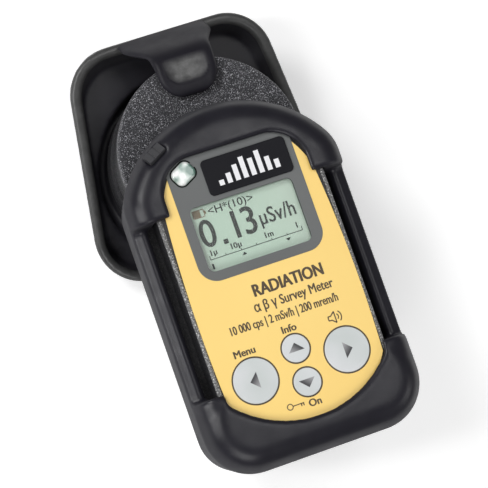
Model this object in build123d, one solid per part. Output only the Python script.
"""Hand-held Geiger counter with a pancake detector head, a rubber sleeve and a filter cap.

Row frame: the instrument lies on its back, +Z out of the keypad, +Y towards the detector
head, +X to the user's right. The origin is the bottom centre of the whole object, so the
flat back of the filter cap lies on Z = 0. Units are millimetres.
"""
from build123d import *
import math
import os

# ---- levels along Z ----
LABEL_Z = 55.1
OVERLAY = 0.4
SHELL_FRONT = LABEL_Z - OVERLAY
SHELL_BACK = 24.1
SPLIT_Z = 39.6
GASKET = 0.8
NECK_Z = 44.5
SLEEVE_FRONT = 56.9
SLEEVE_BACK = 21.9
STRIP_Z = 49.2

# ---- housing and sleeve outlines ----
WALL = 1.8
HOUSING_HALF = 29.0
HOUSING_LOW = -63.8
HOUSING_HIGH = 34.3
NECK_HALF = 26.0
NECK_LOW = -62.0
NECK_HIGH = 32.0
HOUSING_CORNER = 10.0
HOUSING_DOME = 35.0
HOUSING_BLEND = 8.0
SLEEVE_HALF = 34.3
SLEEVE_LOW = -69.2
SLEEVE_HIGH = 39.0
SLEEVE_CORNER = 15.0
SLEEVE_DOME = 38.0
SLEEVE_BLEND = 14.0
SLEEVE_ROUND = 7.0
SLEEVE_DRAFT = 3.6
CUP_HALF = 34.1
CUP_TOP = -38.0
CUP_CORNER = 15.0
CUP_EXTRA = 0.5
GAP_OUTER = 28.5
CUP_STEP = 3.0
RIB_X = 30.3
RIB_R = 1.1
SNUG = 0.15
FAR = 40.0

# ---- openings in the sleeve ----
ARCH_TOP = 24.3
ARCH_HALF = 21.85
ARCH_RADIUS = 10.5
ARCH_END = 9.3
CUP_EDGE = -46.8
CUP_EDGE_HALF = 24.6
CUP_ARC_LOW = -58.1
REAR_WINDOW_HALF = 25.0
REAR_WINDOW_LOW = -62.0
REAR_WINDOW_HIGH = -6.0

# ---- plug in the sleeve's shoulder ----
PLUG_AT = (-20.3, 28.2, 55.2)
PLUG_TURN = 28.0
PLUG_LEAN = -27.0
PLUG_W = 6.2
PLUG_D = 3.2
PLUG_H = 2.6
PLUG_RIBS = 2
PLUG_GROOVE = 0.5

# ---- display group ----
WINDOW_X = -0.2
WINDOW_Y = 0.3
WINDOW_W = 32.2
WINDOW_H = 19.5
WINDOW_CORNER = 1.9
BEZEL_HALF = 19.4
BEZEL_LOW = -12.4
BEZEL_HIGH = 33.0
BEZEL_CORNER = 5.7
BADGE_X = 4.45
BADGE_Y = 16.9
BADGE_W = 26.2
BADGE_H = 10.9
BADGE_CORNER = 1.4
BADGE_T = 0.5
LIGHT_X = -14.2
LIGHT_Y = 20.4
LIGHT_W = 6.9
LIGHT_H = 5.6
LIGHT_CORNER = 2.0
LIGHT_TURN = 28.0
LIGHT_PROUD = 0.9
LIGHT_DEPTH = 3.0

# ---- keys ----
BIG_KEY_R = 6.64
SMALL_KEY_R = 4.1
KEY_GAP = 0.15
KEY_PROUD = 0.25
KEY_SKIRT_Z = 54.0
KEY_POCKET_Z = 53.4
KEY_STEM_R = 1.8
KEY_STEM_Z = 51.6
KEYS = {
    "key_left": (-14.3, -43.0, BIG_KEY_R),
    "key_right": (14.3, -43.0, BIG_KEY_R),
    "key_up": (0.0, -37.9, SMALL_KEY_R),
    "key_down": (0.0, -48.1, SMALL_KEY_R),
}

# ---- boards ----
BOARD_TOP = 50.2
BOARD_T = 1.6
BOARD_HALF = 23.4
CHIP_X = 15.0
CHIP_HALF = 4.0
CHIP_YS = (-32.0, -26.0)
CHIP_T = 0.9
DOME_R = 2.8
DOME_T = 0.8
LED_STEP = 1.4
LED_SIZE = (1.6, 2.0, 1.0)
BUZZER_AT = (-13.0, -22.0)
BUZZER_R = 6.0
BUZZER_T = 3.6
MOTOR_AT = (12.0, -20.0)
MOTOR_R = 3.5
MOTOR_LENGTH = 11.0
MOTOR_FOOT = 4.0

# ---- screws of the housing ----
SCREW_X = 24.6
SCREW_YS = (-28.0, 2.0)
SCREW_R = 1.1
SCREW_HEAD_R = 2.0
BOSS_R = 2.5
BOSS_INSET = 2.6
SCREW_FIT = 0.05

# ---- battery bay ----
CELL_R = 5.25
CELL_LENGTH = 44.5
CELL_YS = (-52.6, -41.4)
CELL_Z = 32.2
DOOR_HALF = 23.4
DOOR_LOW = -59.2
DOOR_HIGH = -34.6
DOOR_T = 1.8
HINGE_Z = 25.5
KNUCKLE_R = 1.2
PIN_R = 0.6
PIN_OVERHANG = 2.0
DOOR_GAP = 0.3
DOOR_SCREW_IN = 4.0
DOOR_SCREW_R = 2.5
CELL_CAP_R = 1.9
LEAF_T = 0.5
LEAF_Y = (-57.5, -36.5)
LEAF_Z = (27.5, 36.8)
HOLDER_HALF = 22.0
HOLDER_Y = (-58.4, -35.6)
HOLDER_Z = (33.2, 38.4)
GRIP_HALF = 9.0
GRIP_Y = -52.0
GRIP_PITCH = 1.4
GRIP_LINES = 9

# ---- detector head ----
HEAD_Y = 27.1
HEAD_R = 28.3
HEAD_TOP = 39.3
HEAD_LID = 3.0
HEAD_CAN_R = 27.4
HEAD_BASE_Z = 13.1
HEAD_FLANGE = 2.0
HEAD_BORE = 24.9
HEAD_GAP = 0.3
NOSE_R = 24.5
NOSE_BORE = 22.6
NOSE_Z = 5.6
TUBE_R = 22.3
TUBE_Z = 8.0
TUBE_H = 11.5
HEAD_SCREWS = 6
HEAD_SCREW_R = 0.7
HEAD_SCREW_CIRCLE = 27.1
HEAD_SEAL = 0.6
HEAD_SLOT_Y = 17.0
CONNECTOR_HALF = 6.0
CONNECTOR_Y = (9.0, 13.0)
CONNECTOR_LOW = 33.0
GRILLE_PITCH = 4.6
GRILLE_HOLE_R = 2.0
GRILLE_RIM = 3.6
TUBE_WALL = 1.5
ANODE_R = 12.0
ANODE_WIRE = 0.5
CLAMP_H = 3.0
HV_R = 21.0
HV_Z = 26.0
HV_T = 1.6
HV_PARTS = (((-10, -2), (22, 32), 4.4), ((3, 9), (28, 34), 3.4), ((2, 10), (18, 24), 2.4))

# ---- filter cap ----
CAP_WALL = 2.2
CAP_FLOOR = 3.0
RIM_SLOPE = 0.25
RIM_Z0 = 7.5
RIM_Y_LOW = -1.8
RIM_Y_HIGH = 68.5
RIM_HALF_0 = 39.9
RIM_TAPER = 0.128
BACK_Y_LOW = 0.6
BACK_Y_HIGH = 62.7
BACK_HALF_0 = 38.1
BACK_TAPER = 0.1855
CAP_CORNER_LOW = 15.0
CAP_CORNER_HIGH = 15.0
BEAD = 2.6
BEAD_W = 3.3
BEAD_ROUND = 1.2
SHELF_DROP = 7.0
WELL_R = 30.3
COLLAR_TOP = 7.0
COLLAR_T = 2.4
NOSE_FIT = 0.3
DISC_T = 1.4
RETAINER_T = 0.6

# ---- tongue of the cap ----
TONGUE_ROOT_Y = 66.9
TONGUE_ROOT_HALF = 14.7
TONGUE_T = 2.4
TONGUE_KNEE_Y = 57.3
TONGUE_KNEE_Z = 41.6
TONGUE_TIP_Y = 44.0
TONGUE_HALF = 8.7
ROOT_GAP = 0.6
TONGUE_TIP_R = 6.0
LABEL_PLATE = (34.0, 22.0)
LABEL_PLATE_Y = -20.0

os.makedirs("parts", exist_ok=True)


def save(node, shape):
    """Write one named piece."""
    export_step(shape, f"parts/{node}.step")


def prism(face, low, high):
    """A flat outline drawn on Z = 0, raised between two levels."""
    return Pos(0, 0, low) * extrude(face, high - low)


def block(x, y, z):
    """A box between two corners, each axis given as (low, high)."""
    centre = [(pair[0] + pair[1]) / 2 for pair in (x, y, z)]
    size = [pair[1] - pair[0] for pair in (x, y, z)]
    return Pos(*centre) * Box(*size)


def drum(x, y, radius, low, high):
    """A cylinder along Z between two levels."""
    return Pos(x, y, (low + high) / 2) * Cylinder(radius, high - low)


def cross_drum(y, z, radius, half):
    """A cylinder along X."""
    return Pos(0, y, z) * Rot(0, 90, 0) * Cylinder(radius, 2 * half)


def plate(x, y, width, height, corner):
    """A rounded rectangle drawn on Z = 0."""
    return Pos(x, y) * RectangleRounded(width, height, corner)


def case_outline(half, low, high, corner, dome, blend, grow=0.0):
    """Outline of the housing: straight sides, rounded foot and a domed end."""
    half += grow
    low -= grow
    high += grow
    dome += grow
    shoulder = high - dome + math.sqrt(dome ** 2 - half ** 2)
    foot = Line((-half, low), (half, low))
    right = Line((half, low), (half, shoulder))
    arc = ThreePointArc((half, shoulder), (0, high), (-half, shoulder))
    left = Line((-half, shoulder), (-half, low))
    face = make_face([foot, right, arc, left])
    face = fillet(face.vertices().sort_by(Axis.Y)[:2], corner + grow)
    shoulders = [v for v in face.vertices() if abs(v.Y - shoulder) < 0.01]
    return fillet(shoulders, blend + grow)


def housing_outline(grow=0.0):
    return case_outline(HOUSING_HALF, HOUSING_LOW, HOUSING_HIGH, HOUSING_CORNER,
                        HOUSING_DOME, HOUSING_BLEND, grow)


def neck_outline(grow=0.0):
    return case_outline(NECK_HALF, NECK_LOW, NECK_HIGH, HOUSING_CORNER,
                        HOUSING_DOME, HOUSING_BLEND, grow)


def rounded_ends(solid, radius):
    """Round the edges of a prism's top and bottom faces."""
    rims = solid.faces().sort_by(Axis.Z)[0].edges() + solid.faces().sort_by(Axis.Z)[-1].edges()
    return fillet(rims, radius)


def screw_places():
    return [(side * SCREW_X, y) for side in (-1, 1) for y in SCREW_YS]


def head_hole(low, high):
    """Clearance for the detector head through the housing's back."""
    return drum(0, HEAD_Y, HEAD_R + HEAD_GAP, low, high)


def head_opening(low, high):
    """The head's clearance carried on past the domed end of the housing."""
    return head_hole(low, high) + block((-FAR, FAR), (HEAD_SLOT_Y, 2 * FAR), (low, high))


# ---------------------------------------------------------------- housing shells
def light_face(grow=0.0):
    return Pos(LIGHT_X, LIGHT_Y) * Rot(0, 0, LIGHT_TURN) * RectangleRounded(
        LIGHT_W + 2 * grow, LIGHT_H + 2 * grow, LIGHT_CORNER)


def front_shell():
    outer = prism(housing_outline(), SPLIT_Z, NECK_Z)
    outer += prism(neck_outline(), NECK_Z, SHELL_FRONT)
    rim = outer.faces().sort_by(Axis.Z)[-1].edges()
    outer = fillet(rim, 0.8)
    hollow = prism(housing_outline(-WALL), SPLIT_Z, NECK_Z - WALL)
    hollow += prism(neck_outline(-WALL), SPLIT_Z, SHELL_FRONT - WALL)
    shell = outer - hollow
    for x, y in screw_places():
        shell += drum(x - math.copysign(BOSS_INSET, x), y, BOSS_R, SPLIT_Z, SHELL_FRONT - WALL)
        shell += drum(x, y, BOSS_R, SPLIT_Z, NECK_Z - WALL / 2) & prism(
            housing_outline(-WALL / 2), SPLIT_Z, NECK_Z)
        shell -= drum(x, y, SCREW_R + SCREW_FIT, SPLIT_Z, NECK_Z - WALL)
    window = plate(WINDOW_X, WINDOW_Y, WINDOW_W + 0.4, WINDOW_H + 0.4, WINDOW_CORNER)
    shell -= prism(window, SHELL_FRONT - 2 * WALL, SHELL_FRONT)
    shell -= prism(light_face(0.1), SHELL_FRONT - 2 * WALL, SHELL_FRONT)
    for x, y, radius in KEYS.values():
        shell -= drum(x, y, radius + KEY_GAP, KEY_POCKET_Z, SHELL_FRONT)
        shell -= drum(x, y, KEY_STEM_R + KEY_GAP, SHELL_FRONT - 2 * WALL, SHELL_FRONT)
    return shell


def rear_shell():
    top = SPLIT_Z - GASKET
    outer = prism(housing_outline(), SHELL_BACK, top)
    back = outer.faces().sort_by(Axis.Z)[0].edges()
    outer = fillet(back, 3.0)
    shell = outer - prism(housing_outline(-WALL), SHELL_BACK + WALL, top)
    for x, y in screw_places():
        shell += drum(x, y, BOSS_R, SHELL_BACK + WALL / 2, top) & prism(
            housing_outline(-WALL / 2), SHELL_BACK, top)
    for x, y in screw_places():
        shell -= drum(x, y, SCREW_R + SCREW_FIT, SHELL_BACK, top)
        shell -= drum(x, y, SCREW_HEAD_R + 0.1, SHELL_BACK, SHELL_BACK + 2.2)
    shell -= head_opening(SHELL_BACK - 1, top + 1)
    hole_half = DOOR_HALF + DOOR_GAP
    door_y = (DOOR_LOW - KNUCKLE_R - DOOR_GAP, DOOR_HIGH + DOOR_GAP)
    shell -= block((-hole_half, hole_half), door_y, (SHELL_BACK - 1, SHELL_BACK + WALL + 0.5))
    shell -= cross_drum(DOOR_LOW, HINGE_Z, KNUCKLE_R + DOOR_GAP, hole_half)
    ear_half = DOOR_HALF + PIN_OVERHANG + 0.2
    ear_y = (DOOR_LOW - 2 * KNUCKLE_R, DOOR_LOW + KNUCKLE_R + DOOR_GAP)
    ears = block((-ear_half, ear_half), ear_y, (HINGE_Z - KNUCKLE_R, HINGE_Z + 2 * KNUCKLE_R))
    ears -= block((-hole_half, hole_half), (DOOR_LOW - FAR, DOOR_LOW + FAR), (0, FAR))
    shell += ears & prism(housing_outline(-WALL / 2), SHELL_BACK + 0.4, top)
    return shell - cross_drum(DOOR_LOW, HINGE_Z, PIN_R, DOOR_HALF + PIN_OVERHANG)


def shell_gasket():
    ring = prism(housing_outline(-0.4), SPLIT_Z - GASKET, SPLIT_Z)
    ring -= prism(housing_outline(-1.5), SPLIT_Z - GASKET, SPLIT_Z)
    return ring - head_opening(SPLIT_Z - 2, SPLIT_Z + 1)


def case_screws():
    pieces = []
    for x, y in screw_places():
        screw = drum(x, y, SCREW_R, SHELL_BACK + 2.0, NECK_Z - WALL - 0.3)
        head = drum(x, y, SCREW_HEAD_R, SHELL_BACK + 0.5, SHELL_BACK + 2.1)
        head -= drum(x, y, 0.9, SHELL_BACK + 0.4, SHELL_BACK + 1.4)
        pieces.append(screw + head)
    return Compound(children=pieces)


# ---------------------------------------------------------------- rubber sleeve
def front_opening():
    """The label's window through the front of the sleeve, with its arched top and cup edge."""
    mid = (ARCH_END + CUP_EDGE) / 2
    top = ARCH_TOP - ARCH_RADIUS
    outline = [
        ThreePointArc((CUP_EDGE_HALF, CUP_EDGE), (0, CUP_ARC_LOW), (-CUP_EDGE_HALF, CUP_EDGE)),
        Line((-CUP_EDGE_HALF, CUP_EDGE), (-CUP_EDGE_HALF, mid)),
        Line((-CUP_EDGE_HALF, mid), (-ARCH_HALF, mid)),
        Line((-ARCH_HALF, mid), (-ARCH_HALF, top)),
        RadiusArc((-ARCH_HALF, top), (-ARCH_HALF + ARCH_RADIUS, ARCH_TOP), ARCH_RADIUS),
        Line((-ARCH_HALF + ARCH_RADIUS, ARCH_TOP), (ARCH_HALF - ARCH_RADIUS, ARCH_TOP)),
        RadiusArc((ARCH_HALF - ARCH_RADIUS, ARCH_TOP), (ARCH_HALF, top), ARCH_RADIUS),
        Line((ARCH_HALF, top), (ARCH_HALF, mid)),
        Line((ARCH_HALF, mid), (CUP_EDGE_HALF, mid)),
        Line((CUP_EDGE_HALF, mid), (CUP_EDGE_HALF, CUP_EDGE)),
    ]
    return make_face(outline)


def sleeve_plug_block(grow=0.0):
    """The plug's block, turned to face out of the sleeve's rounded shoulder."""
    size = (PLUG_W + 2 * grow, PLUG_D + 2 * grow, PLUG_H + 2 * grow)
    return plug_place() * Box(*size)


def plug_place():
    """Middle of the plug, tilted outward with the sleeve's rounded shoulder."""
    return Pos(*PLUG_AT) * Rot(0, 0, PLUG_TURN) * Rot(PLUG_LEAN, 0, 0)


def cup_outline(grow=0.0):
    """Outline of the sleeve's closed foot."""
    height = CUP_TOP - SLEEVE_LOW
    middle = (SLEEVE_LOW + CUP_TOP) / 2
    return plate(0, middle, 2 * (CUP_HALF + grow), height + 2 * grow, CUP_CORNER + grow)


def tapered(back, low, front, high):
    """A drafted block between a back outline and a front outline."""
    return loft([Pos(0, 0, low) * back, Pos(0, 0, high) * front], ruled=True)


def rubber_sleeve():
    front, back = (case_outline(SLEEVE_HALF, SLEEVE_LOW, SLEEVE_HIGH, SLEEVE_CORNER,
                                SLEEVE_DOME, SLEEVE_BLEND, grow) for grow in (0, -SLEEVE_DRAFT))
    outer = rounded_ends(tapered(back, SLEEVE_BACK, front, SLEEVE_FRONT), SLEEVE_ROUND)
    front, back = (cup_outline(grow) for grow in (0, -SLEEVE_DRAFT))
    cup = tapered(back, SLEEVE_BACK - CUP_EXTRA, front, SLEEVE_FRONT + CUP_EXTRA)
    outer += rounded_ends(cup, SLEEVE_ROUND)
    outer -= prism(housing_outline(SNUG), SHELL_BACK - SNUG, NECK_Z + SNUG)
    outer -= prism(neck_outline(SNUG), NECK_Z, LABEL_Z + SNUG)
    outer -= prism(front_opening(), LABEL_Z - 1, SLEEVE_FRONT + 5)
    side_low = CUP_EDGE + CUP_STEP
    outer -= block((-FAR, FAR), (side_low, ARCH_END), (STRIP_Z, SLEEVE_FRONT + 5))
    outer -= block((-GAP_OUTER, GAP_OUTER), (side_low, ARCH_END), (NECK_Z, SLEEVE_FRONT + 5))
    outer -= block((-REAR_WINDOW_HALF, REAR_WINDOW_HALF), (REAR_WINDOW_LOW, REAR_WINDOW_HIGH),
                   (SLEEVE_BACK - 2, SHELL_BACK + 1))
    outer -= head_hole(SLEEVE_BACK - 2, HEAD_TOP + HEAD_GAP)
    for side in (-1, 1):
        rib = Pos(side * RIB_X, (side_low + ARCH_END) / 2, STRIP_Z)
        outer += rib * Rot(90, 0, 0) * Cylinder(RIB_R, ARCH_END - side_low)
    return outer - sleeve_plug_block(SNUG)


# ---------------------------------------------------------------- front face
def front_overlay():
    mid_y = -18.7
    right = ThreePointArc((24.3, CUP_EDGE), (24.9, mid_y), (23.5, 9.8))
    left = ThreePointArc((-23.5, 9.8), (-24.9, mid_y), (-24.3, CUP_EDGE))
    foot = ThreePointArc((-24.3, CUP_EDGE), (0, -60.6), (24.3, CUP_EDGE))
    top = ThreePointArc((23.5, 9.8), (0, 30.0), (-23.5, 9.8))
    sheet = prism(make_face([right, top, left, foot]), SHELL_FRONT, LABEL_Z)
    sheet -= prism(bezel_face(0.05), SHELL_FRONT - 1, LABEL_Z + 1)
    for x, y, radius in KEYS.values():
        sheet -= drum(x, y, radius + KEY_GAP, SHELL_FRONT - 1, LABEL_Z + 1)
    return sheet


def bezel_face(grow=0.0):
    height = BEZEL_HIGH - BEZEL_LOW
    sheet = plate(0.1, (BEZEL_HIGH + BEZEL_LOW) / 2, 2 * (BEZEL_HALF + grow), height + 2 * grow,
                  BEZEL_CORNER + grow)
    return sheet & neck_outline(grow - 1.0)


def display_bezel():
    sheet = prism(bezel_face(), SHELL_FRONT, LABEL_Z)
    sheet -= prism(plate(WINDOW_X, WINDOW_Y, WINDOW_W, WINDOW_H, WINDOW_CORNER),
                   SHELL_FRONT - 1, LABEL_Z + 1)
    return sheet - prism(light_face(0.1), SHELL_FRONT - 1, LABEL_Z + 1)


def display_window():
    return prism(plate(WINDOW_X, WINDOW_Y, WINDOW_W + 0.2, WINDOW_H + 0.2, WINDOW_CORNER),
                 SHELL_FRONT - 1.6, SHELL_FRONT - 0.1)


def name_badge():
    raised = prism(plate(BADGE_X, BADGE_Y, BADGE_W, BADGE_H, BADGE_CORNER), LABEL_Z, LABEL_Z + BADGE_T)
    return fillet(raised.faces().sort_by(Axis.Z)[-1].edges(), 0.2)


def alarm_light():
    lens = prism(light_face(), SHELL_FRONT - LIGHT_DEPTH, LABEL_Z + LIGHT_PROUD)
    return fillet(lens.faces().sort_by(Axis.Z)[-1].edges(), 0.8)


def key(x, y, radius):
    cap = drum(x, y, radius, KEY_SKIRT_Z, LABEL_Z + KEY_PROUD)
    cap = fillet(cap.faces().sort_by(Axis.Z)[-1].edges(), 0.2)
    return cap + drum(x, y, KEY_STEM_R, KEY_STEM_Z, KEY_SKIRT_Z)


# ---------------------------------------------------------------- electronics
def main_board():
    board = prism(neck_outline(-(NECK_HALF - BOARD_HALF)), BOARD_TOP - BOARD_T, BOARD_TOP)
    for x, y in screw_places():
        board -= drum(x - math.copysign(BOSS_INSET, x), y, BOSS_R + 0.3, SPLIT_Z, SHELL_FRONT)
    for side in (-1, 1):
        chip_x = (side * CHIP_X - CHIP_HALF, side * CHIP_X + CHIP_HALF)
        board += block(chip_x, CHIP_YS, (BOARD_TOP, BOARD_TOP + CHIP_T))
    return board


def lcd_module():
    glass = plate(WINDOW_X, WINDOW_Y, WINDOW_W + 3, WINDOW_H + 3, 1.0)
    return prism(glass, BOARD_TOP, SHELL_FRONT - WALL - 0.2)


def dome_switches():
    pieces = []
    for x, y, _ in KEYS.values():
        dome = drum(x, y, DOME_R, BOARD_TOP, BOARD_TOP + DOME_T)
        pieces.append(fillet(dome.faces().sort_by(Axis.Z)[-1].edges(), 0.5))
    return Compound(children=pieces)


def alarm_leds():
    turned = Pos(LIGHT_X, LIGHT_Y) * Rot(0, 0, LIGHT_TURN)
    level = BOARD_TOP + LED_SIZE[2] / 2
    pieces = [turned * Pos(step, 0, level) * Box(*LED_SIZE) for step in (-LED_STEP, LED_STEP)]
    return Compound(children=pieces)


def buzzer():
    under = BOARD_TOP - BOARD_T
    disc = drum(*BUZZER_AT, BUZZER_R, under - BUZZER_T, under)
    return disc - drum(*BUZZER_AT, 0.8, under - BUZZER_T - 1, under - BUZZER_T + 1.2)


def vibration_motor():
    under = BOARD_TOP - BOARD_T
    x, y = MOTOR_AT
    body = Pos(x, y, under - MOTOR_R - 0.1) * Rot(0, 90, 0) * Cylinder(MOTOR_R, MOTOR_LENGTH)
    foot_y = (y - MOTOR_FOOT / 2, y + MOTOR_FOOT / 2)
    return body + block((x - MOTOR_FOOT, x + MOTOR_FOOT), foot_y, (under - 1.2, under))


# ---------------------------------------------------------------- battery bay
def battery_cells():
    pieces = []
    for y in CELL_YS:
        cell = cross_drum(y, CELL_Z, CELL_R, CELL_LENGTH / 2 - 0.5)
        cell += cross_drum(y, CELL_Z, CELL_CAP_R, CELL_LENGTH / 2)
        pieces.append(cell)
    return Compound(children=pieces)


def battery_contacts():
    pieces = []
    for side in (-1, 1):
        x = side * (CELL_LENGTH / 2 + 1.3)
        leaf = block((x - LEAF_T / 2, x + LEAF_T / 2), LEAF_Y, LEAF_Z)
        for y in CELL_YS:
            leaf += Pos(side * (CELL_LENGTH / 2 + 0.55), y, CELL_Z) * Rot(0, 90, 0) * Cylinder(1.6, 1.0)
        pieces.append(leaf)
    return Compound(children=pieces)


def battery_holder():
    tray = block((-HOLDER_HALF, HOLDER_HALF), HOLDER_Y, HOLDER_Z)
    for y in CELL_YS:
        tray -= cross_drum(y, CELL_Z, CELL_R + SNUG, FAR)
    return tray


def battery_door():
    door = block((-DOOR_HALF, DOOR_HALF), (DOOR_LOW, DOOR_HIGH), (SHELL_BACK, SHELL_BACK + DOOR_T))
    outer = door.faces().sort_by(Axis.Z)[0].edges().filter_by(Axis.X).sort_by(Axis.Y)[-1:]
    door = fillet(outer, 0.4)
    door += cross_drum(DOOR_LOW, HINGE_Z, KNUCKLE_R, DOOR_HALF)
    door -= cross_drum(DOOR_LOW, HINGE_Z, PIN_R + 0.05, DOOR_HALF + 1)
    for i in range(GRIP_LINES):
        y = GRIP_Y + (i - (GRIP_LINES - 1) / 2) * GRIP_PITCH
        door -= block((-GRIP_HALF, GRIP_HALF), (y - 0.3, y + 0.3), (SHELL_BACK - 0.1, SHELL_BACK + 0.4))
    return door - drum(0, DOOR_HIGH - DOOR_SCREW_IN, DOOR_SCREW_R + 0.1, SHELL_BACK - 1,
                       SHELL_BACK + DOOR_T + 1)


def door_hinge_pin():
    return cross_drum(DOOR_LOW, HINGE_Z, PIN_R, DOOR_HALF + PIN_OVERHANG)


def door_screw():
    y = DOOR_HIGH - DOOR_SCREW_IN
    head = drum(0, y, DOOR_SCREW_R, SHELL_BACK + 0.1, SHELL_BACK + DOOR_T + 0.6)
    return head - block((-2.0, 2.0), (y - 0.35, y + 0.35), (SHELL_BACK, SHELL_BACK + 0.9))


# ---------------------------------------------------------------- detector head
def head_housing():
    low = HEAD_BASE_Z + HEAD_FLANGE + HEAD_SEAL
    top = HEAD_TOP - HEAD_LID
    shell = drum(0, HEAD_Y, HEAD_CAN_R, low, top)
    shell += drum(0, HEAD_Y, HEAD_R, low, low + 6.4)
    shell -= drum(0, HEAD_Y, HEAD_BORE, low - 1, top + 1)
    for x, y in head_screw_places():
        shell -= drum(x, y, HEAD_SCREW_R + 0.03, low, low + 6.2)
    return shell


def head_lid():
    """The round grained face of the head, a lid on the can below it."""
    low = HEAD_TOP - HEAD_LID
    lid = drum(0, HEAD_Y, HEAD_R, low, HEAD_TOP)
    lid = fillet(lid.faces().sort_by(Axis.Z)[-1].edges(), 0.9)
    lid += drum(0, HEAD_Y, HEAD_BORE - 0.1, low - 2.0, low)
    lid -= drum(0, HEAD_Y, HEAD_BORE - 2.0, low - 3.0, low + 0.5)
    slot_half = CONNECTOR_HALF + 0.2
    slot_y = (CONNECTOR_Y[0] - 0.2, CONNECTOR_Y[1] + 0.2)
    return lid - block((-slot_half, slot_half), slot_y, (low - 3, HEAD_TOP + 1))


def head_screw_places():
    step = 2 * math.pi / HEAD_SCREWS
    return [(HEAD_SCREW_CIRCLE * math.sin(i * step), HEAD_Y + HEAD_SCREW_CIRCLE * math.cos(i * step))
            for i in range(HEAD_SCREWS)]


def head_base():
    top = HEAD_BASE_Z + HEAD_FLANGE
    base = drum(0, HEAD_Y, HEAD_R, HEAD_BASE_Z, top) + drum(0, HEAD_Y, NOSE_R, NOSE_Z, HEAD_BASE_Z)
    base = fillet(base.faces().sort_by(Axis.Z)[0].edges(), 0.6)
    base -= drum(0, HEAD_Y, NOSE_BORE, NOSE_Z - 1, top + 1)
    for x, y in head_screw_places():
        base -= drum(x, y, HEAD_SCREW_R + 0.03, HEAD_BASE_Z - 1, top + 1)
    return base


def head_gasket():
    low = HEAD_BASE_Z + HEAD_FLANGE
    ring = drum(0, HEAD_Y, HEAD_BORE + 1.2, low, low + HEAD_SEAL)
    return ring - drum(0, HEAD_Y, HEAD_BORE + 0.2, low - 1, low + 2)


def head_screws():
    low = HEAD_BASE_Z
    pieces = []
    for x, y in head_screw_places():
        screw = drum(x, y, HEAD_SCREW_R, low, low + HEAD_FLANGE + 6.0)
        screw += drum(x, y, 1.15, low - 0.9, low)
        pieces.append(screw)
    return Compound(children=pieces)


def detector_grille():
    ring = drum(0, HEAD_Y, NOSE_BORE - 0.05, NOSE_Z + 0.1, NOSE_Z + 1.0)
    row = GRILLE_PITCH * math.sqrt(3) / 2
    reach = math.ceil(NOSE_BORE / GRILLE_PITCH)
    for i in range(-reach, reach + 1):
        for j in range(-reach, reach + 1):
            x = (i + 0.5 * (j % 2)) * GRILLE_PITCH
            y = j * row
            if math.hypot(x, y) < NOSE_BORE - GRILLE_RIM:
                ring -= drum(x, HEAD_Y + y, GRILLE_HOLE_R, NOSE_Z - 1, NOSE_Z + 2)
    return ring


def detector_tube():
    body = drum(0, HEAD_Y, TUBE_R, TUBE_Z, TUBE_Z + TUBE_H)
    body = fillet(body.faces().sort_by(Axis.Z)[-1].edges(), TUBE_WALL)
    body -= drum(0, HEAD_Y, TUBE_R - 1.3, TUBE_Z - 1, TUBE_Z + TUBE_H - TUBE_WALL)
    return body + drum(0, HEAD_Y, 1.2, TUBE_Z + TUBE_H - 1.0, TUBE_Z + TUBE_H + 3.0)


def detector_anode():
    level = TUBE_Z + TUBE_H / 2
    ring = Pos(0, HEAD_Y, level) * Torus(ANODE_R, ANODE_WIRE)
    return ring + Pos(0, HEAD_Y, level) * Rot(0, 90, 0) * Cylinder(ANODE_WIRE - 0.1, 2 * ANODE_R)


def detector_window():
    return drum(0, HEAD_Y, TUBE_R, TUBE_Z - 0.4, TUBE_Z)


def tube_clamp():
    low = HEAD_BASE_Z + HEAD_FLANGE + HEAD_SEAL + 0.1
    ring = drum(0, HEAD_Y, HEAD_BORE - 0.1, low, low + CLAMP_H)
    return ring - drum(0, HEAD_Y, TUBE_R + 0.1, low - 1, low + CLAMP_H + 1)


def high_voltage_board():
    top = HV_Z + HV_T
    board = drum(0, HEAD_Y, HV_R, HV_Z, top)
    for x, y, tall in HV_PARTS:
        board += block(x, y, (top, top + tall))
    return board


def head_connector():
    return block((-CONNECTOR_HALF, CONNECTOR_HALF), CONNECTOR_Y, (CONNECTOR_LOW, BOARD_TOP - BOARD_T))


# ---------------------------------------------------------------- filter cap
def trapezoid(y_low, y_high, half_low, half_high, corner_low, corner_high, inset=0.0):
    """A rounded trapezoid, wide at its low end, drawn in its own plane."""
    y_low += inset
    y_high -= inset
    half_low -= inset
    half_high -= inset
    outline = make_face(Polyline([(-half_low, y_low), (half_low, y_low), (half_high, y_high),
                                  (-half_high, y_high)], close=True))
    corners = outline.vertices().sort_by(Axis.Y)
    outline = fillet(corners[:2], corner_low - inset)
    tops = [v for v in outline.vertices() if abs(v.Y - y_high) < 0.01]
    return fillet(tops, corner_high - inset)


def rim_plane(drop=0.0):
    normal = Vector(0, -RIM_SLOPE, 1).normalized()
    return Plane(origin=Vector(0, 0, RIM_Z0) - normal * drop, x_dir=(1, 0, 0), z_dir=normal)


def rim_outline(inset=0.0):
    along = math.sqrt(1 + RIM_SLOPE ** 2)
    return trapezoid(RIM_Y_LOW * along, RIM_Y_HIGH * along, RIM_HALF_0 - RIM_TAPER * RIM_Y_LOW,
                     RIM_HALF_0 - RIM_TAPER * RIM_Y_HIGH, CAP_CORNER_LOW, CAP_CORNER_HIGH, inset)


def back_outline(inset=0.0):
    return trapezoid(BACK_Y_LOW, BACK_Y_HIGH, BACK_HALF_0 - BACK_TAPER * BACK_Y_LOW,
                     BACK_HALF_0 - BACK_TAPER * BACK_Y_HIGH, CAP_CORNER_LOW - 1, CAP_CORNER_HIGH - 1, inset)


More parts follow.
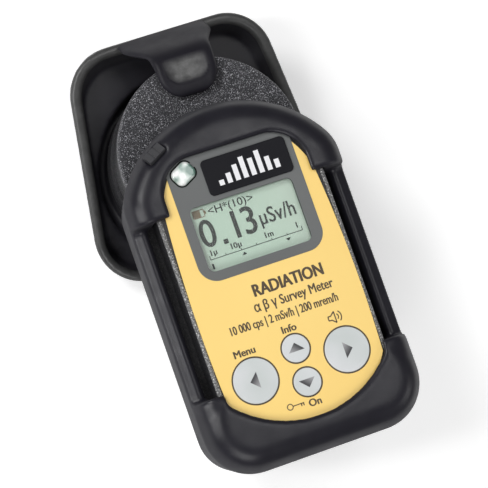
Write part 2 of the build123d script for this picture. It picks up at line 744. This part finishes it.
def filter_cap():
    outer = loft([back_outline(), rim_plane() * rim_outline()], ruled=True)
    hollow = loft([Pos(0, 0, CAP_FLOOR) * back_outline(CAP_WALL), rim_plane(-0.01) * rim_outline(CAP_WALL)],
                  ruled=True)
    shelf = rim_plane(SHELF_DROP) * Pos(0, FAR, FAR) * Box(3 * FAR, 3 * FAR, 2 * FAR)
    well = drum(0, HEAD_Y, WELL_R, CAP_FLOOR, 2 * FAR)
    cap = outer - (hollow & shelf) - (hollow & well)
    bead = extrude(rim_outline() - rim_outline(BEAD_W), BEAD)
    crown = bead.edges().filter_by_position(Axis.Z, BEAD - 0.01, BEAD + 0.01)
    bead = rim_plane(BEAD / 2) * fillet(crown, BEAD_ROUND)
    cap += bead
    collar = drum(0, HEAD_Y, NOSE_R + NOSE_FIT + COLLAR_T, CAP_FLOOR - 0.5, COLLAR_TOP)
    collar &= loft([back_outline(0.3), rim_plane() * rim_outline(0.3)], ruled=True)
    cap += collar
    return cap - drum(0, HEAD_Y, NOSE_R + NOSE_FIT, CAP_FLOOR, 2 * FAR)


def filter_disc():
    disc = drum(0, HEAD_Y, NOSE_R + 0.1, CAP_FLOOR, CAP_FLOOR + DISC_T)
    return fillet(disc.edges(), 0.3)


def filter_retainer():
    low = CAP_FLOOR + DISC_T
    ring = drum(0, HEAD_Y, NOSE_R + 0.2, low, low + RETAINER_T)
    return ring - drum(0, HEAD_Y, NOSE_BORE, low - 1, low + 2)


def tongue_root_z():
    return RIM_Z0 + RIM_SLOPE * TONGUE_ROOT_Y + BEAD / 2 + ROOT_GAP + TONGUE_T / 2


def cap_tongue():
    """The strap that folds over the head: a rolled root, a slope, and a flat thumb tongue."""
    root = (TONGUE_ROOT_Y, tongue_root_z())
    knee = (TONGUE_KNEE_Y, TONGUE_KNEE_Z)
    tip = (TONGUE_TIP_Y, TONGUE_KNEE_Z)
    half_t = TONGUE_T / 2
    slope = math.atan2(knee[1] - root[1], knee[0] - root[0])
    out = (math.sin(slope) * half_t, -math.cos(slope) * half_t)
    profile = Polyline([
        (root[0] + out[0], root[1] + out[1]), (knee[0] + half_t, knee[1] + half_t),
        (tip[0], tip[1] + half_t), (tip[0], tip[1] - half_t),
        (knee[0] - half_t, knee[1] - half_t), (root[0] - out[0], root[1] - out[1])], close=True)
    side = extrude(Plane.YZ * make_face(profile), TONGUE_ROOT_HALF + 5, both=True)
    side += cross_drum(root[0], root[1], half_t, TONGUE_ROOT_HALF + 5)
    plan = make_face(Polyline([
        (-TONGUE_ROOT_HALF, TONGUE_ROOT_Y + 6), (-TONGUE_ROOT_HALF, TONGUE_ROOT_Y - 1.5),
        (-TONGUE_HALF - 1.0, TONGUE_KNEE_Y + 0.5), (-TONGUE_HALF, TONGUE_TIP_Y),
        (TONGUE_HALF, TONGUE_TIP_Y), (TONGUE_HALF + 1.0, TONGUE_KNEE_Y + 0.5),
        (TONGUE_ROOT_HALF, TONGUE_ROOT_Y - 1.5), (TONGUE_ROOT_HALF, TONGUE_ROOT_Y + 6)], close=True))
    plan = fillet(plan.vertices().sort_by(Axis.Y)[:2], TONGUE_TIP_R)
    return side & prism(plan, 0, 2 * FAR)


# ---------------------------------------------------------------- trim
def sleeve_plug():
    plug = sleeve_plug_block()
    pitch = PLUG_W / (PLUG_RIBS + 1)
    for i in range(PLUG_RIBS):
        x = (i + 1) * pitch - PLUG_W / 2
        plug -= plug_place() * Pos(x, 0, PLUG_H / 2) * Box(PLUG_GROOVE, PLUG_D + 1, PLUG_GROOVE)
    return plug


def rear_label():
    return prism(plate(0, LABEL_PLATE_Y, *LABEL_PLATE, 1.5), SHELL_BACK - 0.2, SHELL_BACK)


for name, spot in KEYS.items():
    save(name, key(*spot))
for builder in (front_shell, rear_shell, shell_gasket, case_screws, rubber_sleeve, front_overlay,
                display_bezel, display_window, name_badge, alarm_light, main_board, lcd_module,
                dome_switches, alarm_leds, buzzer, vibration_motor, battery_cells, battery_contacts,
                battery_holder, battery_door, door_hinge_pin, door_screw, head_housing, head_lid, head_base,
                head_gasket, head_screws, detector_grille, detector_tube, detector_anode,
                detector_window, tube_clamp, high_voltage_board, head_connector, filter_cap,
                filter_disc, filter_retainer, cap_tongue, sleeve_plug, rear_label):
    save(builder.__name__, builder())
